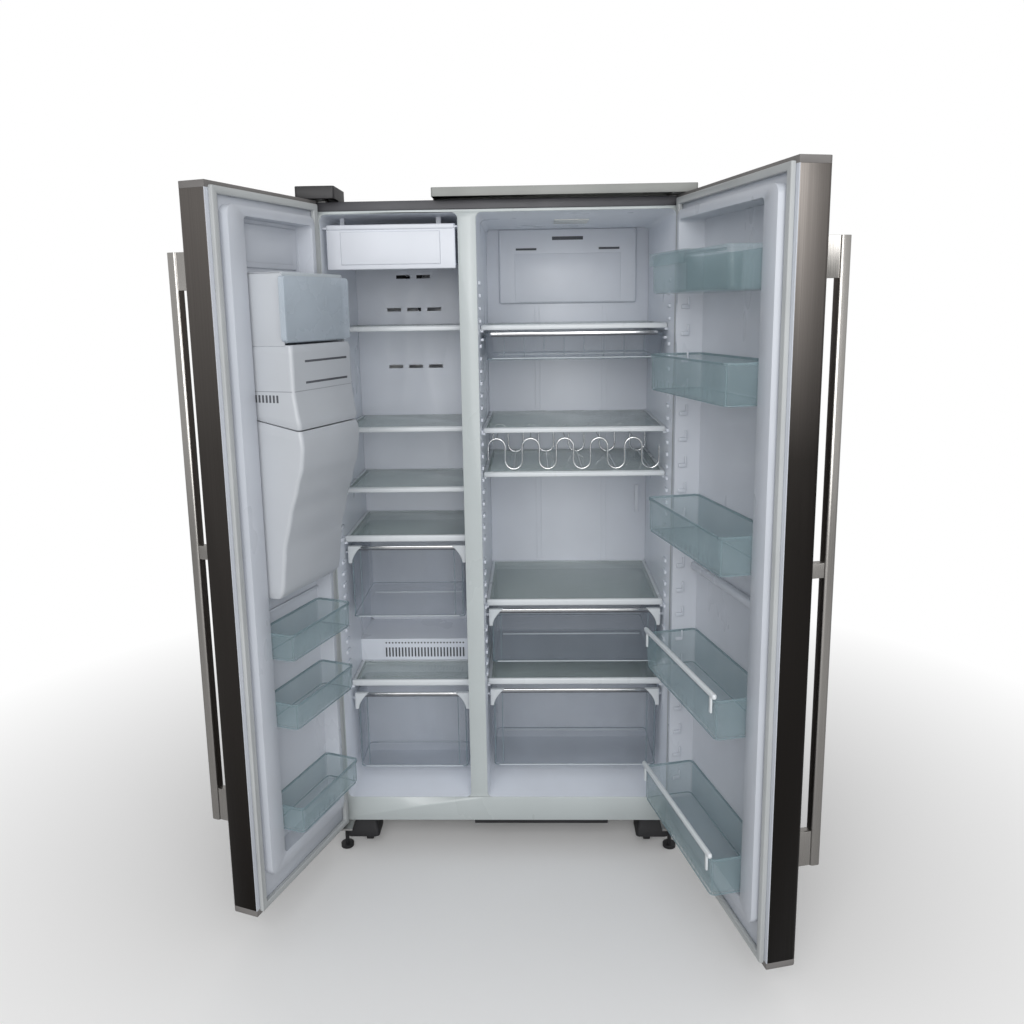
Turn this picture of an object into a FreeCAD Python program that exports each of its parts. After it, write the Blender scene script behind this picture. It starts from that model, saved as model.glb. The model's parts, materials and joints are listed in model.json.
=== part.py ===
import FreeCAD, Part
import os
from math import cos, pi, radians, sin
from FreeCAD import Vector

# Side by side refrigerator: freezer on the left, fridge on the right, both doors standing open.
# Millimetres. X to the right, Y from front to back, Z up. The origin lies on the floor, mid-width,
# below the front face of the cabinet.

# ---- overall sizes ----
cabinet_width = 920.0
cabinet_depth = 600.0
cabinet_top = 1689.0
cabinet_bottom = 87.0
door_top = 1690.0
door_bottom = 90.0
door_thickness = 66.0

# ---- cabinet ----
case_sheet = 1.0
frame_sheet = 2.0
liner_sheet = 2.0
side_wall = 38.0
top_wall = 29.0
floor_height = 154.0
cavity_back = 505.0
mullion_centre = -72.0
mullion_width = 44.0
mouth_radius = 14.0
trim_height = 22.0
trim_depth = 18.0

# ---- machine compartment at the rear, under the cavities ----
machine_front = 355.0
machine_top = 320.0
machine_floor = 60.0
base_sheet = 1.5

# ---- doors ----
door_gap = 12.0
door_split = 4.0
skin_sheet = 1.0
cap_height = 14.0
gasket_depth = 10.5
gasket_width = 16.0
gasket_edge = 9.0
hinge_inset = 16.0
hinge_forward = 28.0
left_open_angle = 109.5
right_open_angle = 103.3
pin_radius = 5.0
pin_length = 12.0
pin_gap = 0.3
hinge_plate = 5.0
hinge_lift = 3.0
door_radius = 8.0

# ---- handles ----
handle_bottom = 300.0
handle_top = 1556.0
handle_width = 24.0
handle_depth = 22.0
handle_standoff = 32.0
handle_edge = 15.0
handle_foot = 76.0

# ---- interior ----
freezer_panel = 410.0
fridge_panel = 478.0
freezer_step_front = 250.0
freezer_step_top = 500.0
step_wall = 25.0
panel_sheet = 2.5
shelf_front = 102.0
shelf_gap = 1.0
shelf_rim = 14.0
shelf_thickness = 12.0
glass_sheet = 4.0
ledge_width = 7.0
ledge_height = 6.0
drawer_wall = 2.5
drawer_gap = 4.0
bar_height = 7.0
bin_wall = 2.5
seat_gap = 0.3

runner_drop = 12.0
runner_sheet = 4.0
runner_setback = 65.0
# the height of each shelf's underside and its front edge; each drawer's bottom and top
freezer_shelves = [(1382.0, 135.0), (1120.0, 135.0), (958.0, 135.0), (831.0, 102.0), (425.0, 102.0)]
fridge_shelves = [(1382.0, 102.0), (1119.0, 102.0), (1003.0, 102.0), (652.0, 102.0), (428.0, 102.0)]
freezer_drawers = [(618.0, 815.0), (181.0, 400.0)]
fridge_drawers = [(1304.0, 1372.0), (488.0, 638.0), (185.0, 410.0)]

# ---- door liners: width runs from the hinge side, depth from the liner's face into the cabinet ----
dyke_edge = 44.0
dyke_height = 22.0
dyke_bottom = 170.0
dyke_top = 1648.0
left_pocket = (56.0, 300.0, 18.0)
right_pocket = (58.0, 450.0, 40.0)
left_dyke_end = 350.0
right_dyke_end = 500.0
pocket_bottom = 200.0
pocket_top = 1628.0
left_bin_reach = 78.0
right_bin_reach = 90.0
left_bins = [(257.0, 320.0), (510.0, 572.0), (672.0, 735.0)]
right_bins = [(210.0, 297.0), (562.0, 650.0), (907.0, 989.0), (1243.0, 1327.0)]
barred_bins = 2
dairy_bottom = 1462.0
dairy_top = 1546.0

# ---- ice dispenser ----
ice_width = (57.0, 291.0)
ice_bottom = 812.0
ice_chamber = 1370.0
ice_top = 1516.0
ice_front = 112.0
ice_sheet = 3.0
recess_width = (120.0, 265.0)
recess_height = (1010.0, 1300.0)
recess_depth = 42.0
panel_height = 90.0

# ---- hinges' covers, machines ----
cover_sheet = 2.0
cover_height = 31.0
long_cover_height = 23.0
compressor_radius = 82.0
fan_radius = 70.0

# ---- feet and rollers ----
foot_radius = 17.0
foot_thickness = 9.0
roller_radius = 20.0
roller_width = 16.0
roller_bore = 4.0
running_gap = 0.05
roller_lift = 2.0

half = cabinet_width / 2
mullion_left = mullion_centre - mullion_width / 2
mullion_right = mullion_centre + mullion_width / 2
cavity_top = cabinet_top - top_wall
trim_bottom = cabinet_top - trim_height
freezer_left = -half + side_wall
fridge_right = half - side_wall
left_width = mullion_centre + half - door_split / 2
right_width = half - mullion_centre - door_split / 2
hinge_x = half - hinge_inset
nodes = {}


def box(x0, x1, y0, y1, z0, z1):
    return Part.makeBox(x1 - x0, y1 - y0, z1 - z0, Vector(x0, y0, z0))


def rod(start, direction, radius, length):
    return Part.makeCylinder(radius, length, Vector(*start), Vector(*direction))


def edges_along(shape, axis):
    found = []
    for edge in shape.Edges:
        if len(edge.Vertexes) == 2:
            step = edge.Vertexes[1].Point.sub(edge.Vertexes[0].Point)
            if step.Length > 0 and abs(abs(step.normalize().dot(axis)) - 1) < 1e-6:
                found.append(edge)
    return found


def rounded(shape, axis, radius):
    return shape.makeFillet(radius, edges_along(shape, axis))


def union(shapes):
    whole = shapes[0]
    for shape in shapes[1:]:
        whole = whole.fuse(shape)
    return whole.removeSplitter()


def cut(shape, tools):
    for tool in tools:
        shape = shape.cut(tool)
    return shape


def group(shapes):
    return Part.makeCompound(shapes)


def extruded(points, along, first, last):
    """A closed outline of (a, b) points, extruded along one axis from first to last."""
    if along == "x":
        corners = [Vector(first, a, b) for a, b in points]
        step = Vector(last - first, 0, 0)
    elif along == "y":
        corners = [Vector(a, first, b) for a, b in points]
        step = Vector(0, last - first, 0)
    else:
        corners = [Vector(a, b, first) for a, b in points]
        step = Vector(0, 0, last - first)
    return Part.Face(Part.makePolygon(corners + corners[:1])).extrude(step)


def open_box(x0, x1, y0, y1, z0, z1, wall, radius):
    """A box that is open at the top, with rounded upright edges."""
    upright = Vector(0, 0, 1)
    outer = rounded(box(x0, x1, y0, y1, z0, z1), upright, radius)
    inner = rounded(box(x0 + wall, x1 - wall, y0 + wall, y1 - wall, z0 + wall, z1 + wall),
                    upright, max(radius - wall, 0.5))
    return outer.cut(inner)


# ---- cabinet shells ----
freezer_room = (freezer_left, mullion_left, freezer_panel, freezer_step_front, freezer_step_top)
fridge_room = (mullion_right, fridge_right, fridge_panel, machine_front - step_wall, machine_top + step_wall)


def cavity(room, grow, front, back):
    """The space of one compartment, grown all round, with its step over the machines."""
    x0, x1, panel, step_front, step_top = room
    whole = box(x0 - grow, x1 + grow, front, back + grow, floor_height - grow, cavity_top + grow)
    whole = rounded(whole, Vector(0, 1, 0), mouth_radius + grow)
    step = box(x0 - 50, x1 + 50, step_front + grow, back + 50, 0, step_top - grow)
    return whole.cut(step)


def make_liner(room, ledges):
    x0, x1 = room[:2]
    outer = cavity(room, liner_sheet, frame_sheet, cavity_back)
    inner = cavity(room, 0, frame_sheet - 1, cavity_back)
    rails = []
    for height, front, back in ledges:
        for wall, inward in ((x0, 1), (x1, -1)):
            edge = wall + inward * ledge_width
            low, high = min(wall - inward, edge), max(wall - inward, edge)
            rails.append(box(low, high, front, back, height - ledge_height, height))
    return union([outer.cut(inner)] + rails)


def make_case():
    front = frame_sheet
    back = cabinet_depth - case_sheet
    outer = box(-half, half, front, back, cabinet_bottom, cabinet_top)
    inner = box(-half + case_sheet, half - case_sheet, front, back, 0, cabinet_top - case_sheet)
    strip = box(-half, half, front, trim_depth, trim_bottom, cabinet_top)
    return outer.cut(inner).cut(strip)


def make_frame():
    face = box(-half, half, 0, frame_sheet, cabinet_bottom, trim_bottom)
    mouths = [cavity(room, 0, -5, cavity_back) for room in (freezer_room, fridge_room)]
    return cut(face, mouths)


def make_foam():
    inside = half - case_sheet
    whole = box(-inside, inside, frame_sheet, cabinet_depth - case_sheet,
                cabinet_bottom + base_sheet, cabinet_top - case_sheet)
    strip = box(-half, half, 0, trim_depth, trim_bottom, cabinet_top)
    machine = box(-half, half, machine_front - base_sheet, cabinet_depth, 0, machine_top)
    spaces = [cavity(room, liner_sheet, 0, cavity_back) for room in (freezer_room, fridge_room)]
    return cut(whole, [strip, machine] + spaces)


def reach_back(bottom, room):
    """How far back the space reaches at this height: to the panel, or to the step below it."""
    x0, x1, panel, step_front, step_top = room
    return panel if bottom > step_top else step_front


def shelf_ledges(shelves, room):
    return [(height, front, reach_back(height - ledge_height, room) - shelf_gap) for height, front in shelves]


def runner_ledges(drawers, room):
    return [(top - runner_drop - seat_gap, shelf_front + 10, reach_back(bottom, room) - drawer_gap)
            for bottom, top in drawers]


freezer_ledges = shelf_ledges(freezer_shelves, freezer_room) + runner_ledges(freezer_drawers, freezer_room)
fridge_ledges = shelf_ledges(fridge_shelves, fridge_room) + runner_ledges(fridge_drawers, fridge_room)

nodes["outer_case"] = make_case()
nodes["front_frame"] = make_frame()
nodes["cabinet_foam"] = make_foam()
nodes["freezer_liner"] = make_liner(freezer_room, freezer_ledges)
nodes["fridge_liner"] = make_liner(fridge_room, fridge_ledges)
nodes["back_panel"] = box(-half, half, cabinet_depth - case_sheet, cabinet_depth, machine_top, cabinet_top)
nodes["top_trim"] = box(-half, half, 0, trim_depth, trim_bottom, cabinet_top)


# ---- shelves ----
def make_shelf(x0, x1, front, back, height):
    """A framed glass shelf; the frame stands on the ledges at the stated height."""
    left, right = x0 + shelf_gap, x1 - shelf_gap
    top = height + shelf_thickness
    lap = shelf_rim - 5
    frame = rounded(box(left, right, front, back, height, top), Vector(0, 0, 1), 5)
    window = box(left + shelf_rim, right - shelf_rim, front + shelf_rim, back - shelf_rim, height - 1, top + 1)
    pane = box(left + lap, right - lap, front + lap, back - lap, top - glass_sheet, top)
    return frame.cut(window).cut(pane), pane


shelf_frames = []
shelf_panes = []
for room, shelves in ((freezer_room, freezer_shelves), (fridge_room, fridge_shelves)):
    for height, front in shelves:
        back = reach_back(height - ledge_height, room) - shelf_gap
        frame, pane = make_shelf(room[0], room[1], front, back, height)
        shelf_frames.append(frame)
        shelf_panes.append(pane)
nodes["shelf_frames"] = group(shelf_frames)
nodes["glass_panes"] = group(shelf_panes)


# ---- drawers ----
def make_drawer(x0, x1, front, back, bottom, top):
    """A clear drawer between the ledges, hung on a runner along each side, with a bar at its front."""
    left, right = x0 + ledge_width + shelf_gap, x1 - ledge_width - shelf_gap
    tub = open_box(left, right, front, back, bottom, top, drawer_wall, 14)
    low, high = top - runner_drop, top - runner_drop + runner_sheet
    runners = [box(x0 + shelf_gap, left + drawer_wall, front + runner_setback, back - 12, low, high),
               box(right - drawer_wall, x1 - shelf_gap, front + runner_setback, back - 12, low, high)]
    bar = rod((left + 14, front + 2, top), (1, 0, 0), bar_height / 2, right - left - 28)
    return union([tub] + runners + [bar])


drawer_spots = [("upper_freezer_drawer", freezer_room, freezer_drawers[0]),
                ("lower_freezer_drawer", freezer_room, freezer_drawers[1]),
                ("chiller_tray", fridge_room, fridge_drawers[0]),
                ("upper_crisper", fridge_room, fridge_drawers[1]),
                ("lower_crisper", fridge_room, fridge_drawers[2])]
for name, room, (bottom, top) in drawer_spots:
    nodes[name] = make_drawer(room[0], room[1], shelf_front, reach_back(bottom, room) - drawer_gap, bottom, top)


# ---- wire wine rack on the third fridge shelf ----
def make_wine_rack():
    """Two waved wires, front and back, joined by a straight wire at each crest and hollow."""
    wire = 2.5
    cross_wire = 1.8
    waves = 5
    left, right = mullion_right + 12, fridge_right - 12
    bend = (right - left) / (waves * 4)
    low = fridge_shelves[2][0] + shelf_thickness + wire + bend
    high = low + 36
    front, back = shelf_front + 30, fridge_panel - 60
    wires = []
    for place in range(waves * 2):
        middle = left + bend * (2 * place + 1)
        crest = place % 2 == 0
        height = high if crest else low
        for y in (front, back):
            ring = Part.makeTorus(bend, wire, Vector(middle, y, height), Vector(0, 1, 0))
            half_space = box(middle - bend - 9, middle + bend + 9, y - 9, y + 9,
                             height if crest else height - bend - 9, height + bend + 9 if crest else height)
            wires.append(ring.common(half_space))
            wires.append(rod((middle + bend, y, low), (0, 0, 1), wire, high - low))
        tip = height + bend if crest else height - bend
        wires.append(rod((middle, front, tip), (0, 1, 0), cross_wire, back - front))
    for y in (front, back):
        wires.append(rod((left, y, low), (0, 0, 1), wire, high - low))
    return wires[0].multiFuse(wires[1:])


nodes["wine_rack"] = make_wine_rack()


# ---- cold air: panels, duct, evaporator and its fan ----
def make_rear_panel(room):
    """A sheet across the compartment with side flanges that reach back to the liner."""
    x0, x1, front, step_front, step_top = room
    left, right = x0 + seat_gap, x1 - seat_gap
    low, high = step_top + seat_gap, cavity_top - seat_gap
    whole = rounded(box(left, right, front, cavity_back - seat_gap, low, high), Vector(0, 1, 0), mouth_radius)
    inside = box(left + panel_sheet, right - panel_sheet, front + panel_sheet, cavity_back,
                 low + panel_sheet, high - panel_sheet)
    return whole.cut(inside)


freezer_middle = (freezer_left + mullion_left) / 2
fridge_middle = (mullion_right + fridge_right) / 2
fan_height = 1500.0
vent_pitch = 58.0
slots = []
for height, count in ((1561, 2), (1528, 2), (1436, 3), (1273, 3)):
    for place in range(count):
        middle = freezer_middle + (place - (count - 1) / 2) * vent_pitch
        slots.append(box(middle - 20, middle + 20, freezer_panel - 1, freezer_panel + panel_sheet + 1,
                         height - 5, height + 5))
nodes["rear_panels"] = group([cut(make_rear_panel(freezer_room), slots),
                              make_rear_panel(fridge_room)])
duct = rounded(box(fridge_middle - 200, fridge_middle + 200, fridge_panel - 12, fridge_panel,
                   1448, cavity_top - seat_gap), Vector(0, 1, 0), 10)
duct_slot = box(fridge_middle - 45, fridge_middle + 45, fridge_panel - 20, fridge_panel - 6, 1628, 1638)
duct_vents = [box(fridge_middle + side - 30, fridge_middle + side + 30, fridge_panel - 20, fridge_panel - 6,
                  1480, 1488) for side in (-120, 120)]
nodes["fridge_air_duct"] = cut(duct, [duct_slot] + duct_vents)
fins = [box(freezer_middle - 130 + 13 * place, freezer_middle - 129 + 13 * place, 432, cavity_back - seat_gap,
            700, 1240) for place in range(21)]
pipes = [rod((freezer_middle - 138, 455 + 28 * (row % 2), 725 + 35 * row), (1, 0, 0), 4, 276) for row in range(15)]
nodes["evaporator"] = fins[0].multiFuse(fins[1:] + pipes)


def make_fan(centre, axis, radius, bore):
    """Hub and five pitched blades; the shaft runs along the axis."""
    hub = Part.makeCylinder(18, 24).cut(Part.makeCylinder(bore, 40, Vector(0, 0, -5)))
    blades = []
    for place in range(5):
        blade = box(15, radius, -12, 12, -1, 1)
        blade.rotate(Vector(0, 0, 0), Vector(1, 0, 0), 28)
        blade.translate(Vector(0, 0, 12))
        blade.rotate(Vector(0, 0, 0), Vector(0, 0, 1), 72 * place)
        blades.append(blade.cut(Part.makeCylinder(bore + 2, 60, Vector(0, 0, -20))))
    whole = union([hub] + blades)
    whole.Placement = FreeCAD.Placement(Vector(*centre), FreeCAD.Rotation(Vector(0, 0, 1), Vector(*axis)))
    return whole


shaft = 3.0
cold_fan_front = freezer_panel + panel_sheet + 6
nodes["evaporator_fan"] = make_fan((freezer_middle, cold_fan_front, fan_height), (0, 1, 0), fan_radius,
                                   shaft + running_gap)
cold_motor = union([rod((freezer_middle, cold_fan_front + 28, fan_height), (0, 1, 0), 26,
                        cavity_back - seat_gap - cold_fan_front - 28),
                    rod((freezer_middle, cold_fan_front, fan_height), (0, 1, 0), shaft, 40)])
fan_x = -90.0
machine_y = (machine_front + cabinet_depth) / 2
machine_low = machine_floor + base_sheet
motor_stand = box(fan_x + 30, fan_x + 70, machine_y - 15, machine_y + 15, machine_low, 175)
hot_motor = union([rod((fan_x + 28, machine_y, 175), (1, 0, 0), 26, 44), motor_stand,
                   rod((fan_x, machine_y, 175), (1, 0, 0), shaft, 40)])
nodes["condenser_fan"] = make_fan((fan_x, machine_y, 175), (1, 0, 0), fan_radius, shaft + running_gap)
nodes["fan_motors"] = group([cold_motor, hot_motor])

# ---- machines ----
condenser_fins = [box(-400 + 9 * place, -399 + 9 * place, machine_front + 25, cabinet_depth - 30,
                      machine_low, 290) for place in range(29)]
condenser_pipes = [rod((-408, machine_front + 50 + 35 * column, 85 + 32 * row), (1, 0, 0), 4, 268)
                   for row in range(7) for column in range(5)]
nodes["condenser"] = condenser_fins[0].multiFuse(condenser_fins[1:] + condenser_pipes)
compressor_x = 250.0
shell = Part.makeCylinder(compressor_radius, 120, Vector(compressor_x, machine_y, machine_low + 14))
dome = Part.makeSphere(compressor_radius, Vector(compressor_x, machine_y, machine_low + 134)).common(
    box(compressor_x - 100, compressor_x + 100, machine_y - 100, machine_y + 100, machine_low + 133,
        machine_low + 186))
mount_feet = [rod((compressor_x + side * 78, machine_y + way * 55, machine_low), (0, 0, 1), 14, 20)
              for side in (-1, 1) for way in (-1, 1)]
mount_plate = box(compressor_x - 95, compressor_x + 95, machine_y - 72, machine_y + 72,
                  machine_low + 14, machine_low + 18)
nodes["compressor"] = union([shell, dome, mount_plate] + mount_feet)
nodes["drain_pan"] = open_box(0, 140, machine_front + 15, cabinet_depth - 15, machine_low, 110, 2, 10)
valve_x = 405.0
valve_body = box(valve_x - 20, valve_x + 20, cabinet_depth - 70, cabinet_depth - case_sheet - seat_gap, 190, 240)
valve_port = rod((valve_x, cabinet_depth - 30, 215), (0, 1, 0), 9, 50)
valve_bore = rod((valve_x, cabinet_depth - 10, 215), (0, 1, 0), 3.175, 40)
nodes["water_valve"] = union([valve_body, valve_port]).cut(valve_bore)
gland_x = 330.0
rear_cover = box(-half + 12, half - 12, cabinet_depth - case_sheet, cabinet_depth, machine_low, machine_top - 4)
vents = [box(-380 + 40 * column, -352 + 40 * column, cabinet_depth - 5, cabinet_depth + 5,
             100 + 24 * row, 108 + 24 * row) for row in range(8) for column in range(14)]
gland = rod((gland_x, cabinet_depth - 6, 110), (0, 1, 0), 11, 16)
gland_bore = rod((gland_x, cabinet_depth - 20, 110), (0, 1, 0), 4, 40)
port_hole = rod((valve_x, cabinet_depth - 20, 215), (0, 1, 0), 9 + seat_gap, 40)
nodes["rear_cover"] = cut(union([cut(rear_cover, vents), gland]), [gland_bore, port_hole])

# ---- lamps, ice maker and its cover ----
lamp_depth = 3.0
nodes["lamp_covers"] = group([
    box(fridge_middle - 45, fridge_middle + 45, 200, 300, cavity_top - lamp_depth, cavity_top),
    box(freezer_middle - 40, freezer_middle + 40, 330, 380, cavity_top - lamp_depth, cavity_top)])
maker_left, maker_right = freezer_left + 30, mullion_right - 90
tray = box(maker_left, mullion_left - 80, 70, 290, 1566, 1606)
tray = tray.cut(box(maker_left + 4, mullion_left - 84, 74, 286, 1572, 1610))
dividers = [box(maker_left + 4, mullion_left - 84, 74 + 30 * place, 77 + 30 * place, 1572, 1600)
            for place in range(1, 7)]
drive = box(mullion_left - 80, mullion_left - 24, 60, 300, 1556, 1640)
hangers = [box(maker_left, maker_left + 10, y, y + 12, 1600, cavity_top) for y in (90, 260)]
hangers += [box(mullion_left - 60, mullion_left - 48, y, y + 12, 1640, cavity_top) for y in (90, 260)]
nodes["ice_maker"] = union([tray, drive] + dividers + hangers)
flap_front = 14.0
flap_left, flap_right = freezer_left + 10, mullion_left - 7
flap = rounded(box(flap_left, flap_right, flap_front, flap_front + 8, 1532, 1637), Vector(0, 1, 0), 8)
flap_recess = rounded(box(flap_left + 34, flap_right - 34, flap_front + 4, flap_front + 20, 1541, 1622),
                      Vector(0, 1, 0), 8)
pin_end = freezer_left + seat_gap
flap_pins = [rod((pin_end, flap_front + 5, 1630), (1, 0, 0), 3, flap_left + 4 - pin_end),
             rod((flap_right - 4, flap_front + 5, 1630), (1, 0, 0), 3, mullion_left - seat_gap - flap_right + 4)]
nodes["ice_maker_cover"] = union([flap.cut(flap_recess)] + flap_pins)


# ---- base: compressor tray, hinge plates, feet and rollers ----
foot_spots = [(side * 436.0, 18.0) for side in (-1, 1)]
roller_spots = [(side * 378.0, y, z) for y, z in ((50.0, roller_radius + roller_lift),
                                                  (560.0, roller_radius)) for side in (-1, 1)]


def make_base():
    """The floor of the cabinet, stepped up over the machines, with ears for the rollers' axles."""
    inside = half - case_sheet
    rear = cabinet_depth - case_sheet
    pieces = [box(-inside, inside, frame_sheet, machine_front, cabinet_bottom, cabinet_bottom + base_sheet),
              box(-inside, inside, machine_front - base_sheet, machine_front, machine_floor, machine_top),
              box(-inside, inside, machine_front - base_sheet, rear, machine_top - base_sheet, machine_top),
              box(-inside, inside, machine_front - base_sheet, rear, machine_floor, machine_low)]
    for x, y, z in roller_spots:
        top = cabinet_bottom if y < machine_front else machine_floor
        for side in (-1, 1):
            ear = x + side * (roller_width / 2 + 2)
            low, high = min(ear, ear + side * 2), max(ear, ear + side * 2)
            pieces.append(box(low, high, y - 12, y + 12, z - 8, top + 0.5))
        pieces.append(rod((x - 16, y, z), (1, 0, 0), roller_bore, 32))
    return union(pieces)


def make_roller(x, y, z):
    wheel = rod((x - roller_width / 2, y, z), (1, 0, 0), roller_radius, roller_width)
    return wheel.cut(rod((x - 30, y, z), (1, 0, 0), roller_bore + running_gap, 60))


nodes["base_plate"] = make_base()
nodes["front_rollers"] = group([make_roller(*spot) for spot in roller_spots[:2]])
nodes["rear_rollers"] = group([make_roller(*spot) for spot in roller_spots[2:]])
stem_radius = 5.0
for name, (x, y) in zip(("levelling_foot_left", "levelling_foot_right"), foot_spots):
    pad = rod((x, y, 0), (0, 0, 1), foot_radius, foot_thickness)
    stem = rod((x, y, 0), (0, 0, 1), stem_radius, cabinet_bottom - 0.5)
    nodes[name] = union([pad, stem])


def make_hinge(side, upper):
    """A plate that reaches over or under the door, with the pin that the door turns on."""
    x0, x1 = sorted((side * (half - 2), side * (half - 52)))
    if upper:
        low = cabinet_top + hinge_lift
        plate = box(x0, x1, -hinge_forward - 14, 60, low, low + hinge_plate)
        pad = box(x0, x1, trim_depth, 60, cabinet_top, low)
        pin = rod((side * hinge_x, -hinge_forward, low + 1), (0, 0, -1), pin_radius, low + 1 - door_top + pin_length)
        return union([plate, pad, pin])
    plate = box(x0, x1, -hinge_forward - 14, 60, cabinet_bottom - hinge_plate, cabinet_bottom)
    pin = rod((side * hinge_x, -hinge_forward, cabinet_bottom - 1), (0, 0, 1), pin_radius,
              door_bottom - cabinet_bottom + 1 + pin_length)
    foot_hole = [rod((x, y, 0), (0, 0, 1), stem_radius + pin_gap, 200) for x, y in foot_spots]
    return cut(union([plate, pin]), foot_hole)


nodes["hinge_plates"] = group([make_hinge(side, upper) for side in (-1, 1) for upper in (True, False)])
screw_top = cabinet_top + hinge_lift + hinge_plate
nodes["hinge_screws"] = group([rod((side * (half - 27 + way * 14), y, screw_top), (0, 0, 1), 5, 4)
                               for side in (-1, 1) for way, y in ((-1, 30), (1, 30), (0, 48))])


def make_top_cover(x0, x1, front, back, height):
    """A hollow cover on top of the cabinet, raised where it reaches out over the door."""
    top = cabinet_top + height
    whole = rounded(box(x0, x1, front, back, cabinet_top, top), Vector(0, 0, 1), 6)
    inside = box(x0 + cover_sheet, x1 - cover_sheet, front + cover_sheet, back - cover_sheet,
                 cabinet_top - 1, top - cover_sheet)
    over_door = box(x0 - 9, x1 + 9, front - 9, 0, cabinet_top - 9, door_top + 1.5)
    return cut(whole, [inside, over_door])


hinge_cover_front = -hinge_forward - 18
nodes["top_covers"] = group([make_top_cover(-half - 6, -half + 86, hinge_cover_front, 70, cover_height),
                             make_top_cover(-150, half + 4, hinge_cover_front, 70, long_cover_height)])


# ---- doors, modelled shut and then swung open ----
class Door:
    """Places a door's pieces: u runs from the hinge side, w from the liner's face into the cabinet."""

    def __init__(self, side, width, angle):
        self.side = side
        self.width = width
        self.angle = angle

    def x(self, u):
        return self.side * (half - u)

    def box(self, u0, u1, w0, w1, z0, z1):
        x0, x1 = sorted((self.x(u0), self.x(u1)))
        return box(x0, x1, w0 - door_gap, w1 - door_gap, z0, z1)

    def outline(self, points, u0, u1):
        """An outline of (w, z) points across the door's width."""
        x0, x1 = sorted((self.x(u0), self.x(u1)))
        return extruded([(w - door_gap, z) for w, z in points], "x", x0, x1)

    def open(self, shape):
        turned = shape.copy()
        turned.rotate(Vector(self.side * hinge_x, -hinge_forward, 0), Vector(0, 0, 1), self.side * self.angle)
        return turned


def door_block(door, inset, back, low, high):
    """The door's body with its front corners rounded, drawn in by the inset."""
    block = door.box(inset, door.width - inset, inset - door_thickness, 40, low, high)
    block = rounded(block, Vector(0, 0, 1), max(door_radius - inset, 1))
    return block.cut(door.box(-9, door.width + 9, back, 60, low - 1, high + 1))


def make_door(door, pocket, dyke_end, recess):
    """Skin, caps, foam, liner and gasket of one door."""
    low, high = door_bottom + cap_height, door_top - cap_height
    start, end, depth = pocket
    upright = Vector(0, 1, 0)
    outer = door_block(door, 0, -liner_sheet, low, high)
    core = door_block(door, skin_sheet, -liner_sheet, low, high)
    dyke = rounded(door.box(dyke_edge, dyke_end, -liner_sheet, dyke_height, dyke_bottom, dyke_top), upright, 20)
    hollow = rounded(door.box(dyke_edge + liner_sheet, dyke_end - liner_sheet, -liner_sheet - 1,
                              dyke_height - liner_sheet, dyke_bottom + liner_sheet, dyke_top - liner_sheet),
                     upright, 18)
    lining = rounded(door.box(start - liner_sheet, end + liner_sheet, -depth - liner_sheet, dyke_height,
                              pocket_bottom - liner_sheet, pocket_top + liner_sheet), upright, 12)
    space = rounded(door.box(start, end, -depth, dyke_height + 9, pocket_bottom, pocket_top), upright, 10)
    foam = cut(union([core, hollow]), [lining] + recess)
    face = door.box(0, door.width, -liner_sheet, 0, low, high)
    liner = cut(union([face, dyke, lining]), [foam, space])
    skin = cut(outer, [core] + recess)
    caps = []
    for z0, z1 in ((door_bottom, low), (high, door_top)):
        cap = door_block(door, 0, 0, z0, z1)
        bore = rod((door.side * hinge_x, -hinge_forward, z0 - 1), (0, 0, 1), pin_radius + pin_gap, cap_height + 2)
        caps.append(cap.cut(bore))
    ring = door.box(gasket_edge, door.width - gasket_edge, 0, gasket_depth, door_bottom + gasket_edge,
                    door_top - gasket_edge)
    inset = gasket_edge + gasket_width
    mouth = door.box(inset, door.width - inset, -1, gasket_depth + 1, door_bottom + inset, door_top - inset)
    return skin, group(caps), foam, liner, ring.cut(mouth)


def make_handle(door):
    """A bar along the free edge of the door, held by a foot at each end and one in the middle."""
    u1 = door.width - handle_edge
    u0 = u1 - handle_width
    outside = -door_thickness - handle_standoff
    bar = rounded(door.box(u0, u1, outside - handle_depth, outside, handle_bottom, handle_top), Vector(0, 0, 1), 6)
    middle = (handle_bottom + handle_top) / 2
    spans = [(handle_bottom, handle_bottom + handle_foot), (middle - 15, middle + 15),
             (handle_top - handle_foot, handle_top)]
    feet = [door.box(u0 + 4, u1 - 4, outside - 5, -door_thickness, z0, z1) for z0, z1 in spans]
    return union([bar] + feet)


def make_bin(door, pocket, reach, bottom, top):
    """A bin that fills the pocket's width and stands out of it."""
    start, end, depth = pocket
    x0, x1 = sorted((door.x(start + seat_gap), door.x(end - seat_gap)))
    return open_box(x0, x1, seat_gap - depth - door_gap, reach - door_gap, bottom, top, bin_wall, 12)


left = Door(-1, left_width, left_open_angle)
right = Door(1, right_width, right_open_angle)
dispenser = left.box(recess_width[0], recess_width[1], -door_thickness - 1, recess_depth - door_thickness,
                     recess_height[0], recess_height[1])
left_pieces = make_door(left, left_pocket, left_dyke_end, [dispenser])
right_pieces = make_door(right, right_pocket, right_dyke_end, [])
for door, prefix, pieces in ((left, "left", left_pieces), (right, "right", right_pieces)):
    for name, piece in zip(("skin", "caps", "foam", "liner", "gasket"), pieces):
        nodes[prefix + "_door_" + name] = door.open(piece)
    nodes[prefix + "_handle"] = door.open(make_handle(door))
nodes["left_door_bins"] = group([left.open(make_bin(left, left_pocket, left_bin_reach, *span)) for span in left_bins])
nodes["right_door_bins"] = group([right.open(make_bin(right, right_pocket, right_bin_reach, *span))
                                  for span in right_bins])
bars = [right.box(right_pocket[0] + seat_gap, right_pocket[1] - seat_gap, right_bin_reach, right_bin_reach + 5,
                  top + 4, top + 16) for bottom, top in right_bins[:barred_bins]]
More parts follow.
